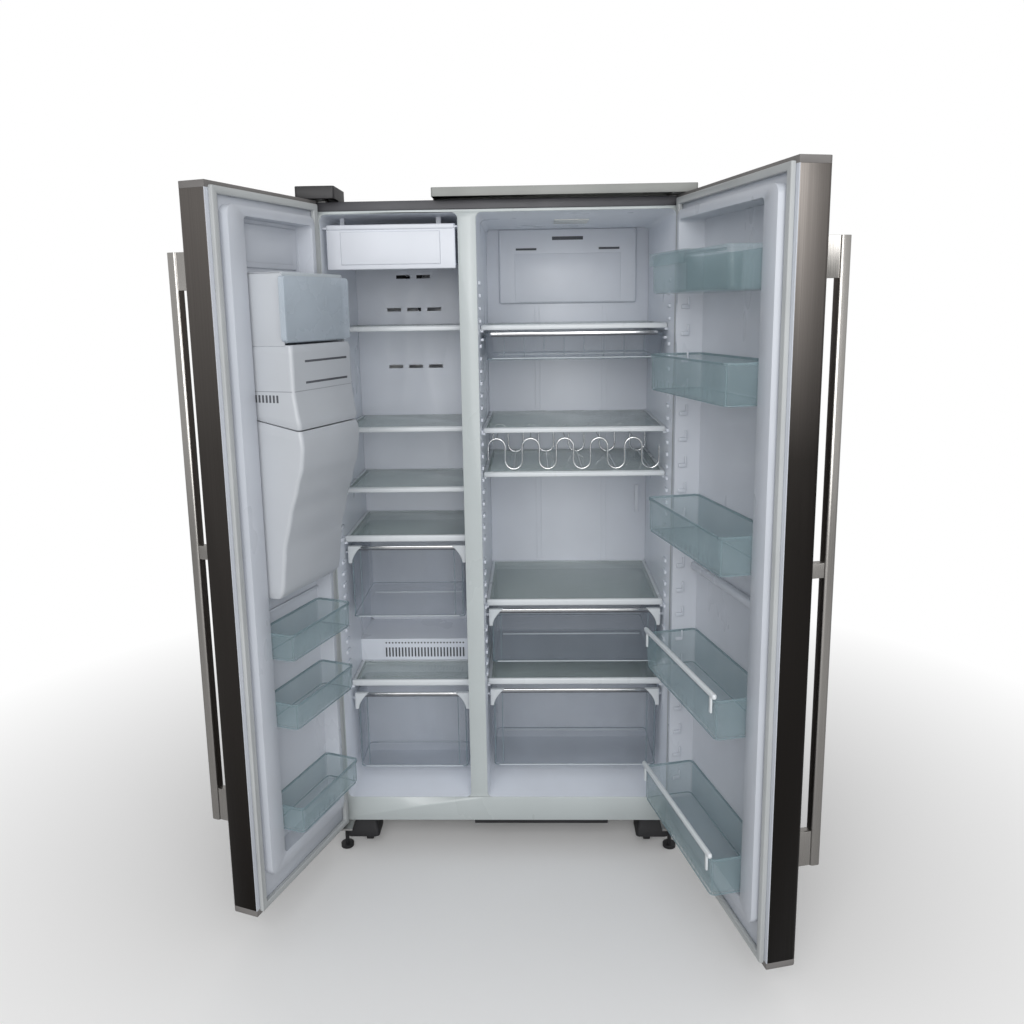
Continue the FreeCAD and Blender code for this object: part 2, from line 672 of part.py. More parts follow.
ties = [right.box(u, u + 6, right_bin_reach, right_bin_reach + 5, top - 30, top + 6)
        for bottom, top in right_bins[:barred_bins]
        for u in (right_pocket[0] + 14, right_pocket[1] - 20)]
nodes["bin_bars"] = group([right.open(union([bar] + ties[2 * place:2 * place + 2]))
                           for place, bar in enumerate(bars)])

# ---- dairy bin with a lid over its hinge-side half ----
dairy_back = seat_gap - right_pocket[2]
dairy_middle = (right_pocket[0] + right_pocket[1]) / 2
x0, x1 = sorted((right.x(right_pocket[0] + seat_gap), right.x(right_pocket[1] - seat_gap)))
dairy = open_box(x0, x1, dairy_back - door_gap, right_bin_reach - door_gap, dairy_bottom, dairy_top, bin_wall, 12)
divider = right.box(dairy_middle - 1, dairy_middle + 1, dairy_back + 1, right_bin_reach - 1, dairy_bottom + 1,
                    dairy_top)
nodes["dairy_bin"] = right.open(union([dairy, divider]))
lid_hinge = (0.0, dairy_top + 4.0)
lid = right.box(right_pocket[0] + 2, dairy_middle - 2, 2, right_bin_reach + 3, dairy_top + 1, dairy_top + 4)
lid_lip = right.box(right_pocket[0] + 2, dairy_middle - 2, right_bin_reach + 0.5, right_bin_reach + 3,
                    dairy_top - 24, dairy_top + 2)
lid_barrel = rod((right.x(dairy_middle - 2), lid_hinge[0] - door_gap, lid_hinge[1]), (1, 0, 0), 3,
                 dairy_middle - right_pocket[0] - 3)
nodes["dairy_lid"] = right.open(union([lid, lid_lip, lid_barrel]))

# ---- ice housing, ice bin and auger ----
ice_start, ice_end = ice_width
shape_points = [(-left_pocket[2] + seat_gap, ice_bottom), (52, ice_bottom), (58, 850), (64, 920), (84, 1000),
                (116, 1085), (125, 1125), (125, 1180), (118, 1230), (ice_front, 1266), (ice_front, ice_chamber),
                (-left_pocket[2] + seat_gap, ice_chamber)]
housing = left.outline(shape_points, ice_start, ice_end)
hollow_front = 50.0
housing = housing.cut(left.box(ice_start + ice_sheet, ice_end - ice_sheet, -10, hollow_front - ice_sheet,
                               ice_bottom + ice_sheet, ice_chamber - ice_sheet))
cheeks = [left.box(u, u + ice_sheet, -left_pocket[2] + seat_gap, ice_front - 14, ice_chamber - 1, ice_top)
          for u in (ice_start, ice_end - ice_sheet)]
roof = left.box(ice_start, ice_end, -left_pocket[2] + seat_gap, ice_front - 14, ice_top - ice_sheet, ice_top)
nodes["ice_housing"] = left.open(union([housing, roof] + cheeks))
bin_low = ice_chamber + seat_gap
x0, x1 = sorted((left.x(ice_start + ice_sheet + 1), left.x(ice_end - ice_sheet - 1)))
ice_tub = open_box(x0, x1, -8 - door_gap, ice_front - 12 - door_gap, bin_low, ice_top - 9, ice_sheet, 8)
ice_face = left.box(ice_start + 2, ice_end + 14, ice_front - 13, ice_front, bin_low + 3, ice_top - 9)
nodes["ice_bin"] = left.open(union([ice_tub, rounded(ice_face, Vector(0, 1, 0), 9)]))
auger_u = (ice_start + ice_end) / 2
auger_z = bin_low + 32
auger_rod = rod((left.x(auger_u), -5 + 0.4 - door_gap, auger_z), (0, 1, 0), 4, ice_front - 18)
vanes = []
for place in range(6):
    vane = box(-22, 22, -1.5, 1.5, -5, 5)
    vane.rotate(Vector(0, 0, 0), Vector(0, 1, 0), 30 * place)
    vane.translate(Vector(left.x(auger_u), 5 + 14 * place - door_gap, auger_z))
    vanes.append(vane)
nodes["ice_auger"] = left.open(union([auger_rod] + vanes))

# ---- dispenser recess, paddle and controls on the front of the left door ----
recess_outer = left.box(recess_width[0], recess_width[1], -door_thickness, recess_depth - door_thickness,
                        recess_height[0], recess_height[1])
recess_inner = rounded(left.box(recess_width[0] + 2, recess_width[1] - 2, -door_thickness - 30,
                                recess_depth - door_thickness - 2, recess_height[0] + 2, recess_height[1] - 2),
                       Vector(0, 1, 0), 10)
rim = rounded(left.box(recess_width[0] - 8, recess_width[1] + 8, -door_thickness - 3, -door_thickness,
                       recess_height[0] - 8, recess_height[1] + panel_height), Vector(0, 1, 0), 8)
panel_space = left.box(recess_width[0], recess_width[1], -door_thickness - 9, -door_thickness - 1,
                       recess_height[1] + 8, recess_height[1] + panel_height - 8)
spout = rod((left.x((recess_width[0] + recess_width[1]) / 2), -door_thickness + 20 - door_gap,
             recess_height[1] - 1), (0, 0, -1), 9, 30)
nodes["dispenser_recess"] = left.open(union([cut(union([recess_outer, rim]), [recess_inner, panel_space]), spout]))
nodes["dispenser_controls"] = left.open(left.box(recess_width[0] + seat_gap, recess_width[1] - seat_gap,
                                                 -door_thickness - 3.5, -door_thickness - 1,
                                                 recess_height[1] + 8 + seat_gap,
                                                 recess_height[1] + panel_height - 8 - seat_gap))
paddle_u = (recess_width[0] + recess_width[1]) / 2
paddle_top = recess_height[1] - 40
paddle_w = recess_depth - door_thickness - 12
paddle_plate = left.box(paddle_u - 28, paddle_u + 28, paddle_w - 1.5, paddle_w + 1.5, paddle_top - 120, paddle_top)
paddle_reach = (recess_width[1] - recess_width[0]) / 2 - 2 - seat_gap
paddle_rod = rod((left.x(paddle_u) - paddle_reach, paddle_w - door_gap, paddle_top), (1, 0, 0), 3,
                 2 * paddle_reach)
paddle = left.open(union([paddle_plate, paddle_rod]))
nodes["dispenser_paddle"] = paddle

os.makedirs("parts", exist_ok=True)
for name, shape in nodes.items():
    shape.exportStep("parts/" + name + ".step")
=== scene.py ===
import bpy, bmesh, json
from math import radians, sin, cos, pi
from mathutils import Vector, Matrix


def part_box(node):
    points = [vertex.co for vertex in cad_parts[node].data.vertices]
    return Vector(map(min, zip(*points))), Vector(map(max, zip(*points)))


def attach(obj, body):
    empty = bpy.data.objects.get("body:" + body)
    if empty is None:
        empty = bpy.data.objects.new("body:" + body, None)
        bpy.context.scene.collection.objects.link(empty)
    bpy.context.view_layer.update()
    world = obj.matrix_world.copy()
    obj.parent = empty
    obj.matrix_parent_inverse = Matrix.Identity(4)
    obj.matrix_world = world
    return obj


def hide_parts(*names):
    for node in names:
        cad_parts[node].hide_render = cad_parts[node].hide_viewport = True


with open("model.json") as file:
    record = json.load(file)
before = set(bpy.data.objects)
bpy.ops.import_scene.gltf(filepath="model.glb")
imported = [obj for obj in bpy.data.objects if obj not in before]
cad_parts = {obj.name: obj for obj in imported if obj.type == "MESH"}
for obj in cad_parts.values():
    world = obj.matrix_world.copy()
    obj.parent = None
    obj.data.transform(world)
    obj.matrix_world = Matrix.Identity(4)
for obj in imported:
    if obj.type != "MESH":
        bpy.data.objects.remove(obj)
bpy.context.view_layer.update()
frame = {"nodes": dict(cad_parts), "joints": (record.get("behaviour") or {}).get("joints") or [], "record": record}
nodes = frame["nodes"]
joints = {joint["name"]: joint for joint in frame["joints"]}
print("frame loaded,", len(nodes), "nodes")

# camera
cameraSet = dict(place=(0.0792, -2.1055, 1.4331), yaw=-1.566, pitch=-9.989, roll=-0.866,
                 lens=30.326, shift=(0.00233, -0.0498))
yaw, pitch, roll = (radians(cameraSet[key]) for key in ("yaw", "pitch", "roll"))
forward = Vector((sin(yaw) * cos(pitch), cos(yaw) * cos(pitch), sin(pitch)))
level = Vector((cos(yaw), -sin(yaw), 0))
upward = level.cross(forward)
sideways = level * cos(roll) + upward * sin(roll)
upward = upward * cos(roll) - level * sin(roll)
cameraData = bpy.data.cameras.new("camera")
camera = bpy.data.objects.new("camera", cameraData)
bpy.context.collection.objects.link(camera)
camera.matrix_world = (Matrix.Translation(cameraSet["place"])
                       @ Matrix((sideways, upward, -forward)).transposed().to_4x4())
cameraData.lens = cameraSet["lens"]
cameraData.sensor_width = 36
cameraData.shift_x, cameraData.shift_y = cameraSet["shift"]
bpy.context.scene.camera = camera
bpy.context.scene.view_settings.view_transform = "Standard"


# shader maths as plain expressions
class Value:
    def __init__(self, finish, socket):
        self.finish = finish
        self.socket = socket

    def maths(self, operation, first, second=0.0):
        return self.finish.add("ShaderNodeMath", dict(operation=operation), {0: first, 1: second})

    def __add__(self, other):
        return self.maths("ADD", self, other)

    def __sub__(self, other):
        return self.maths("SUBTRACT", self, other)

    def __rsub__(self, other):
        return self.maths("SUBTRACT", other, self)

    def __mul__(self, other):
        return self.maths("MULTIPLY", self, other)

    def __truediv__(self, other):
        return self.maths("DIVIDE", self, other)

    def __pow__(self, other):
        return self.maths("POWER", self, other)

    def __gt__(self, other):
        return self.maths("GREATER_THAN", self, other)

    __radd__ = __add__
    __rmul__ = __mul__


class Finish:
    def __init__(self, name, color, roughness, **constants):
        self.material = bpy.data.materials.new(name)
        self.material.use_nodes = True
        self.tree = self.material.node_tree
        self.shader = self.tree.nodes["Principled BSDF"]
        self.color = (*color, 1)
        self.set("Base Color", self.color)
        self.set("Roughness", roughness)
        for key, value in constants.items():
            self.set(key.replace("_", " "), value)

    def set(self, name, value):
        self.feed(self.shader.inputs[name], value)

    def feed(self, socket, value):
        if isinstance(value, Value):
            self.tree.links.new(value.socket, socket)
        else:
            socket.default_value = value

    def add(self, kind, settings, inputs, output=0):
        node = self.tree.nodes.new(kind)
        for key, value in settings.items():
            if key == "stops":
                for stop, (place, color) in zip(node.color_ramp.elements, value):
                    stop.position = place
                    stop.color = (color, color, color, 1)
            else:
                setattr(node, key, value)
        for key, value in inputs.items():
            self.feed(node.inputs[key], value)
        return Value(self, node.outputs[output])

    def place(self, stretch=(1, 1, 1)):
        where = self.add("ShaderNodeTexCoord", {}, {}, "Object")
        return self.add("ShaderNodeMapping", {}, {"Vector": where, "Scale": stretch})

    def noise(self, scale, stretch=(1, 1, 1), detail=3.0):
        return self.add("ShaderNodeTexNoise", {}, {"Vector": self.place(stretch), "Scale": scale, "Detail": detail})

    def axis(self, letter):
        where = self.add("ShaderNodeTexCoord", {}, {}, "Object")
        return self.add("ShaderNodeSeparateXYZ", {}, {0: where}, letter)

    def ramp(self, value, low, high, start=0.0, end=1.0):
        return self.add("ShaderNodeMapRange", {}, {0: value, 1: low, 2: high, 3: start, 4: end})

    def blend(self, mask, first, second):
        return self.add("ShaderNodeMix", dict(data_type="RGBA"), {0: mask, 6: first, 7: second}, 2)

    def relief(self, height, distance, strength=1.0):
        self.set("Normal", self.add("ShaderNodeBump", {}, {"Height": height, "Distance": distance, "Strength": strength}))

    def mottle(self, amount, scale=6.0, stretch=(1, 1, 1)):
        dark = tuple(channel * (1 - amount) for channel in self.color[:3]) + (1,)
        self.set("Base Color", self.blend(self.ramp(self.noise(scale, stretch), 0.35, 0.7), self.color, dark))


# steel with painted reflection in its base colour: lighter at the top, darker towards the bottom
def steelFinish(name, litTopColor, shadedLowColor, grain, roughness, shade=False):
    made = Finish(name, litTopColor, roughness, Metallic=1.0)
    brush = made.noise(1.0, grain, 4.0)
    # painted reflection: the colour ramps from the low colour near the floor to the top colour higher up
    paintedLightTone = made.blend(made.ramp(made.axis("Z"), 0.1, 1.65), (*shadedLowColor, 1), (*litTopColor, 1))
    # painted shade: darkens the doors' free edges as they swing out to the front, more so lower down
    if shade:
        reach = made.ramp(made.axis("Y"), -0.25, -0.45) * made.ramp(made.axis("Z"), 1.64, 1.15)
        paintedLightTone = made.blend(reach * 0.85, paintedLightTone, (0.016, 0.014, 0.013, 1))
    made.set("Base Color", made.blend(made.ramp(brush, 0.3, 0.7, 0.0, 0.14), paintedLightTone, (0.02, 0.018, 0.016, 1)))
    made.set("Roughness", made.ramp(brush, 0.3, 0.7, roughness - 0.06, roughness + 0.08))
    made.relief(brush, 0.0002, 0.25)
    return made


def plasticFinish(name, color, roughness, stain=0.05, grain=0.0, **constants):
    made = Finish(name, color, roughness, **constants)
    made.mottle(stain)
    smear = made.noise(9.0, (1, 1, 0.4))
    made.set("Roughness", made.ramp(smear, 0.3, 0.75, roughness - 0.04, roughness + 0.1))
    if grain:
        made.relief(made.noise(900.0), grain, 0.4)
    else:
        made.relief(made.noise(14.0), 0.0006, 0.12)
    return made


def clearFinish(name, color, thin, thick, roughness):
    made = Finish(name, color, roughness, Specular_IOR_Level=0.6)
    facing = made.add("ShaderNodeLayerWeight", {}, {"Blend": 0.45}, "Facing")
    smear = made.ramp(made.noise(12.0, (1, 1, 0.5)), 0.35, 0.75, 0.0, 0.06)
    made.set("Alpha", facing * facing * (thick - thin) + thin + smear * 0.6)
    made.mottle(0.12, 5.0)
    made.set("Roughness", made.ramp(made.noise(20.0), 0.3, 0.7, roughness, roughness + 0.1))
    return made


finishes = dict(
    # door steel: painted reflection, dark low and lighter high, plus painted shade on the free edges
    doorSteel=steelFinish("doorSteel", (0.24, 0.22, 0.205), (0.045, 0.039, 0.036), (500, 500, 3), 0.36, True),
    handleSteel=steelFinish("handleSteel", (0.62, 0.60, 0.57), (0.45, 0.43, 0.41), (900, 900, 4), 0.28),
    chrome=steelFinish("chrome", (0.80, 0.81, 0.82), (0.78, 0.79, 0.80), (300, 300, 300), 0.14),
    zinc=steelFinish("zinc", (0.55, 0.55, 0.54), (0.50, 0.50, 0.49), (60, 60, 60), 0.42),
    fins=steelFinish("fins", (0.72, 0.73, 0.74), (0.70, 0.71, 0.72), (200, 200, 20), 0.35),
    caseGrey=plasticFinish("caseGrey", (0.30, 0.30, 0.30), 0.42, 0.10, 0.0003),
    trimDark=plasticFinish("trimDark", (0.075, 0.075, 0.085), 0.4, 0.3, 0.0006),
    frameWhite=plasticFinish("frameWhite", (0.50, 0.545, 0.55), 0.28, 0.05, Coat_Weight=0.3),
    liner=plasticFinish("liner", (0.76, 0.80, 0.87), 0.3, 0.06, Coat_Weight=0.2),
    # door liner colour: the liner plastic darkened as painted shade, for the grazing light the doors get
    shadedDoorLiner=plasticFinish("shadedDoorLiner", (0.54, 0.57, 0.625), 0.3, 0.05, Coat_Weight=0.2),
    whitePlastic=plasticFinish("whitePlastic", (0.68, 0.71, 0.77), 0.34, 0.05),
    bracketWhite=plasticFinish("bracketWhite", (0.70, 0.735, 0.76), 0.28, 0.05),
    coverGrey=plasticFinish("coverGrey", (0.33, 0.34, 0.325), 0.5, 0.2, 0.0004),
    capGrey=plasticFinish("capGrey", (0.20, 0.19, 0.185), 0.45, 0.2, 0.0004),
    gasket=plasticFinish("gasket", (0.47, 0.49, 0.495), 0.55, 0.12, 0.0002),
    black=plasticFinish("black", (0.022, 0.022, 0.025), 0.45, 0.4, 0.0005),
    # dark plastic of the dispenser controls, also used as painted shade in slots, grille openings and under the
    # drawer bars
    darkPlasticAndShade=plasticFinish("darkPlasticAndShade", (0.10, 0.105, 0.12), 0.6, 0.3),
    foam=plasticFinish("foam", (0.75, 0.68, 0.45), 0.9, 0.2, 0.002),
    lens=plasticFinish("lens", (0.82, 0.83, 0.80), 0.3, 0.08),
    # ice housing colour: the liner plastic darkened as painted shade
    shadedIceHousing=plasticFinish("shadedIceHousing", (0.50, 0.525, 0.56), 0.32, 0.05, Coat_Weight=0.15),
    coverDark=plasticFinish("coverDark", (0.035, 0.034, 0.036), 0.42, 0.3, 0.0004),
    seam=plasticFinish("seam", (0.33, 0.345, 0.38), 0.6, 0.2),
    clear=clearFinish("clear", (0.36, 0.50, 0.54), 0.12, 0.62, 0.08),
    clearRim=clearFinish("clearRim", (0.30, 0.41, 0.45), 0.45, 0.85, 0.06),
    # bright pale clear colour used as painted highlight on bin and drawer edges
    paintedHighlight=clearFinish("paintedHighlight", (0.80, 0.86, 0.90), 0.55, 0.9, 0.06),
    drawerClear=clearFinish("drawerClear", (0.45, 0.51, 0.60), 0.10, 0.5, 0.08),
    iceClear=clearFinish("iceClear", (0.62, 0.70, 0.78), 0.55, 0.9, 0.22),
    glass=clearFinish("glass", (0.56, 0.67, 0.65), 0.22, 0.6, 0.05),
)
print("finishes made:", len(finishes))


# meshes
def meshPiece(name, bm, body, finish, stands=(), place=None, bevel=0.0, sharp=35):
    bmesh.ops.recalc_face_normals(bm, faces=bm.faces)
    if place:
        bmesh.ops.transform(bm, matrix=place, verts=bm.verts)
    mesh = bpy.data.meshes.new(name)
    bm.to_mesh(mesh)
    bm.free()
    piece = bpy.data.objects.new(name, mesh)
    bpy.context.collection.objects.link(piece)
    mesh.materials.append(finishes[finish].material)
    for face in mesh.polygons:
        face.use_smooth = True
    if bevel:
        edges = piece.modifiers.new("edges", "BEVEL")
        edges.width = bevel
        edges.segments = 2
        edges.limit_method = "ANGLE"
        edges.angle_limit = radians(sharp)
        edges.harden_normals = True
    else:
        mesh.set_sharp_from_angle(angle=radians(sharp))
    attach(piece, body)
    if stands:
        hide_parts(*stands)
    return piece


def at(x, y, z):
    return Vector((x, y, z)) / 1000


def block(bm, x0, x1, y0, y1, z0, z1, radius=0.0, steps=3):
    made = bmesh.ops.create_cube(bm, size=1)["verts"]
    middle = at((x0 + x1) / 2, (y0 + y1) / 2, (z0 + z1) / 2)
    size = at(abs(x1 - x0), abs(y1 - y0), abs(z1 - z0))
    for vert in made:
        vert.co = Vector((vert.co.x * size.x, vert.co.y * size.y, vert.co.z * size.z)) + middle
    if radius:
        edges = list({edge for vert in made for edge in vert.link_edges})
        bmesh.ops.bevel(bm, geom=edges, offset=radius / 1000, segments=steps, profile=0.5, affect="EDGES")


def ring(x0, x1, y0, y1, radius, z, steps=6):
    points = []
    corners = ((x1 - radius, y1 - radius, 0), (x0 + radius, y1 - radius, 90),
               (x0 + radius, y0 + radius, 180), (x1 - radius, y0 + radius, 270))
    for x, y, start in corners:
        for step in range(steps + 1):
            angle = radians(start + 90 * step / steps)
            points.append((x + radius * cos(angle), y + radius * sin(angle), z))
    return points


def loft(bm, rings, caps=True):
    rows = [[bm.verts.new(at(*point)) for point in points] for points in rings]
    count = len(rows[0])
    for first, second in zip(rows, rows[1:]):
        for place in range(count):
            after = (place + 1) % count
            bm.faces.new((first[place], first[after], second[after], second[place]))
    if caps:
        bm.faces.new(rows[0][::-1])
        bm.faces.new(rows[-1])


def tub(bm, x0, x1, y0, y1, z0, z1, wall, corner, lean=4.0, rim=1.5):
    rings = [ring(x0 + lean + 5, x1 - lean - 5, y0 + lean + 5, y1 - lean - 5, corner, z0),
             ring(x0 + lean + 1, x1 - lean - 1, y0 + lean + 1, y1 - lean - 1, corner, z0 + 2),
             ring(x0 + lean, x1 - lean, y0 + lean, y1 - lean, corner, z0 + 7),
             ring(x0 + rim, x1 - rim, y0 + rim, y1 - rim, corner, z1 - 8),
             ring(x0, x1, y0, y1, corner, z1 - 6),
             ring(x0, x1, y0, y1, corner, z1 - 1),
             ring(x0 + 1, x1 - 1, y0 + 1, y1 - 1, corner, z1),
             ring(x0 + wall + rim, x1 - wall - rim, y0 + wall + rim, y1 - wall - rim, corner - 2, z1 - 0.5),
             ring(x0 + lean + wall, x1 - lean - wall, y0 + lean + wall, y1 - lean - wall, corner - 2, z0 + 8),
             ring(x0 + lean + wall + 5, x1 - lean - wall - 5, y0 + lean + wall + 5, y1 - lean - wall - 5,
                  corner - 2, z0 + wall)]
    loft(bm, rings)


def band(bm, x0, x1, y0, y1, z0, z1, thick, corner):
    outer, inner = (x0, x1, y0, y1, corner), (x0 + thick, x1 - thick, y0 + thick, y1 - thick, corner - thick)
    loft(bm, [ring(*outer, z0), ring(*outer, z1), ring(*inner, z1), ring(*inner, z0), ring(*outer, z0)], False)
    bmesh.ops.remove_doubles(bm, verts=bm.verts, dist=1e-6)


def span(node):
    low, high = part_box(node)
    return [value * 1000 for pair in zip(low, high) for value in pair]


def softCopy(node, finish, width, sharp=35, name=None, keep=None):
    bm = bmesh.new()
    bm.from_mesh(nodes[node].data)
    if keep:
        away = [vert for vert in bm.verts if not keep[0] < vert.co.x < keep[1]]
        bmesh.ops.delete(bm, geom=away, context="VERTS")
    bmesh.ops.remove_doubles(bm, verts=bm.verts, dist=1e-5)
    if node not in ringed:
        bmesh.ops.dissolve_limit(bm, angle_limit=0.01, verts=bm.verts, edges=bm.edges)
    body = next(name for name, members in frame["record"]["behaviour"]["bodies"].items() if node in members)
    return meshPiece(name or node + "Shown", bm, body, finish, [node], bevel=width / 1000, sharp=sharp)


ringed = ("freezer_liner", "fridge_liner", "rear_panels", "left_door_liner", "right_door_liner", "outer_case",
          "front_frame", "rear_cover", "base_plate", "shelf_frames", "dispenser_recess")   # faces with holes in them


def dress(node, finish):
    mesh = nodes[node].data
    mesh.materials.clear()
    mesh.materials.append(finishes[finish].material)


# nodes that keep their shape, and nodes that get soft edges
dressed = dict(evaporator="fins", condenser="fins", evaporator_fan="black", condenser_fan="black", fan_motors="black",
               cabinet_foam="foam", left_door_foam="foam", right_door_foam="foam", wine_rack="chrome",
               compressor="black", drain_pan="black", water_valve="whitePlastic", ice_maker="whitePlastic",
               ice_auger="zinc", front_rollers="black", rear_rollers="black", hinge_screws="zinc",
               levelling_foot_left="black", levelling_foot_right="black", dispenser_paddle="black")
softened = dict(outer_case=("caseGrey", 0.8), front_frame=("frameWhite", 0.8), top_trim=("trimDark", 2.0),
                back_panel=("zinc", 0.4), rear_cover=("zinc", 0.4), base_plate=("zinc", 0.5),
                freezer_liner=("liner", 1.5), fridge_liner=("liner", 1.5), rear_panels=("whitePlastic", 0.8),
                lamp_covers=("lens", 1.0), hinge_plates=("zinc", 0.6),
                glass_panes=("glass", 0.6),
                left_door_skin=("doorSteel", 0.4), right_door_skin=("doorSteel", 0.4),
                left_door_caps=("capGrey", 1.0), right_door_caps=("capGrey", 1.0),
                # the door liners take the liner plastic darkened by painted shade
                left_door_liner=("shadedDoorLiner", 1.8), right_door_liner=("shadedDoorLiner", 1.8),
                left_door_gasket=("gasket", 2.5), right_door_gasket=("gasket", 2.5),
                left_handle=("handleSteel", 1.0), right_handle=("handleSteel", 1.0),
                dispenser_recess=("black", 0.8), dispenser_controls=("darkPlasticAndShade", 0.5),
                ice_bin=("iceClear", 1.5), shelf_frames=("bracketWhite", 1.2), dairy_lid=("clear", 0.6))
for node, finish in dressed.items():
    dress(node, finish)
for node, (finish, width) in softened.items():
    softCopy(node, finish, width)
softCopy("top_covers", "coverDark", 4.0, name="leftHingeCover", keep=(-1, -0.3))
softCopy("top_covers", "coverGrey", 2.0, name="longHingeCover", keep=(-0.3, 1))
print("cabinet and doors dressed")


# doors: u runs from the hinge side, w from the liner's face into the cabinet
class DoorPlace:
    def __init__(self, side, joint, body):
        self.side = side
        self.body = body
        hinge = at(*[value * 1000 for value in joints[joint]["pos_m"]])
        angle = radians(-side * joints[joint]["range_deg"][0])
        self.matrix = Matrix.Translation(hinge) @ Matrix.Rotation(angle, 4, "Z") @ Matrix.Translation(-hinge)
        self.edge = span("outer_case")[1]

    def x(self, u):
        return self.side * (self.edge - u)

    def sorted(self, u0, u1):
        return sorted((self.x(u0), self.x(u1)))

    def block(self, bm, u0, u1, w0, w1, z0, z1, radius=0.0, steps=3):
        x0, x1 = self.sorted(u0, u1)
        block(bm, x0, x1, w0 - doorGap, w1 - doorGap, z0, z1, radius, steps)

    def tub(self, bm, u0, u1, w0, w1, z0, z1, wall, corner, lean=4.0, rim=1.5):
        x0, x1 = self.sorted(u0, u1)
        tub(bm, x0, x1, w0 - doorGap, w1 - doorGap, z0, z1, wall, corner, lean, rim)

    def band(self, bm, u0, u1, w0, w1, z0, z1, thick, corner):
        x0, x1 = self.sorted(u0, u1)
        band(bm, x0, x1, w0 - doorGap, w1 - doorGap, z0, z1, thick, corner)

    def piece(self, name, bm, finish, slot, stands=(), bevel=0.0, sharp=35):
        return meshPiece(name, bm, self.body, finish, stands, self.matrix, bevel, sharp)


doorGap = 12.0
leftDoor = DoorPlace(-1, "left_door_swing", "left_door")
rightDoor = DoorPlace(1, "right_door_swing", "right_door")


# bins of both doors: clear tubs with a rim, a sloping floor edge and embossed strokes
binSet = dict(wall=2.5, corner=12.0, lean=4.0, edge=2.2,
              left=dict(start=56.3, end=299.7, back=-17.7, reach=78.0, spans=[(257, 320), (510, 572), (672, 735)]),
              right=dict(start=58.3, end=449.7, back=-39.7, reach=90.0,
                         spans=[(210, 297), (562, 650), (907, 989), (1243, 1327)]))


def bins(door, shape, node, prefix):
    bm = bmesh.new()
    for low, high in shape["spans"]:
        door.tub(bm, shape["start"], shape["end"], shape["back"], shape["reach"], low, high,
                 binSet["wall"], binSet["corner"], binSet["lean"])
        strokes = int((shape["end"] - shape["start"]) / 22)
        for place in range(1, strokes):
            u = shape["start"] + 22 * place
            door.block(bm, u, u + 1.2, shape["reach"] - 4, shape["reach"] - 2.6, low + 8, low + 26, 0.3, 1)
    door.piece(prefix, bm, "clear", "clear_plastic", [node])
    bm = bmesh.new()
    start, end, back, reach, edge = shape["start"], shape["end"], shape["back"], shape["reach"], binSet["edge"]
    for low, high in shape["spans"]:
        door.band(bm, start, end, back, reach, high - 2 * edge, high + 0.2, edge, binSet["corner"])
        door.band(bm, start + 4, end - 4, back + 4, reach - 4, low + 1, low + 1 + edge, edge, binSet["corner"])
        for u in (start + 5, end - 5 - edge):
            door.block(bm, u, u + edge, reach - 5 - edge, reach - 5, low + 3, high - 5, 0.6, 1)
    door.piece(prefix + "Edges", bm, "clearRim", "clear_plastic")


bins(leftDoor, binSet["left"], "left_door_bins", "leftBins")
bins(rightDoor, binSet["right"], "right_door_bins", "rightBins")
bm = bmesh.new()
for low, high in binSet["right"]["spans"][:2]:
    rightDoor.block(bm, 58.5, 449.5, 86, 96, high + 3, high + 15, 4.5, 4)
    for u in (72, 430):
        rightDoor.block(bm, u, u + 8, 90.5, 95, high - 30, high + 5, 1.5, 2)
rightDoor.piece("binBars", bm, "bracketWhite", "chrome", ["bin_bars"])
bm = bmesh.new()
rightDoor.tub(bm, 58.3, 449.7, -39.7, 90, 1462, 1546, 2.5, 12.0, 3.0)
rightDoor.block(bm, 253, 255, -36, 87, 1466, 1543, 0.4, 1)
rightDoor.piece("dairyBin", bm, "clear", "clear_plastic", ["dairy_bin"])
print("bins made")


# ice housing: lofted shell in two parts with a seam between them
iceSet = dict(rise=28.0, start=57.0, end=291.0, back=-17.5, corner=9.0, seam=(1186.0, 1189.0), topFront=112.0,
              front=[(812, 46), (818, 52), (850, 58), (920, 66), (1000, 86), (1060, 106), (1110, 122), (1150, 127),
                     (1190, 124), (1230, 117), (1266, 112), (1370, 112)])


def iceFront(z):
    points = iceSet["front"]
    for (z0, w0), (z1, w1) in zip(points, points[1:]):
        if z <= z1:
            share = max(0.0, (z - z0) / (z1 - z0))
            share = share * share * (3 - 2 * share) * 0.5 + share * 0.5
            return w0 + (w1 - w0) * share
    return points[-1][1]


def iceWarp(points, level):
    x0, x1 = leftDoor.x(iceSet["start"]), leftDoor.x(iceSet["end"])
    warped = []
    for x, y, z in points:
        across = (x - x0) / (x1 - x0)
        deep = max(0.0, min(1.0, 1 - (y + doorGap - iceSet["back"]) / 130))
        lift = iceSet["rise"] * across ** 6 * deep * max(0.0, 1 - abs(level - iceSet["seam"][0]) / 90)
        warped.append((x, y, z + lift))
    return warped


def iceRings(low, high, count, shut):
    rings = []
    x0, x1 = leftDoor.sorted(iceSet["start"], iceSet["end"])
    levels = [low + (high - low) * place / (count - 1) for place in range(count)]
    for z in levels:
        pinch = 3.0 if z in (low, high) and shut else 0.0
        points = ring(x0 + pinch, x1 - pinch, iceSet["back"] - doorGap, iceFront(z) - pinch - doorGap, iceSet["corner"], z)
        rings.append(iceWarp(points, z))
    return rings


bm = bmesh.new()
loft(bm, iceRings(812, iceSet["seam"][0], 34, True))
loft(bm, iceRings(iceSet["seam"][1], 1366, 20, True))
for u in (iceSet["start"], iceSet["end"] - 4):
    leftDoor.block(bm, u, u + 4, -17.5, 96, 1364, 1515, 1.5, 2)
leftDoor.block(bm, 57, 291, -17.5, 96, 1510, 1515.5, 2, 2)
leftDoor.block(bm, 57, 291, -17.5, -13, 1364, 1515, 1.5, 2)
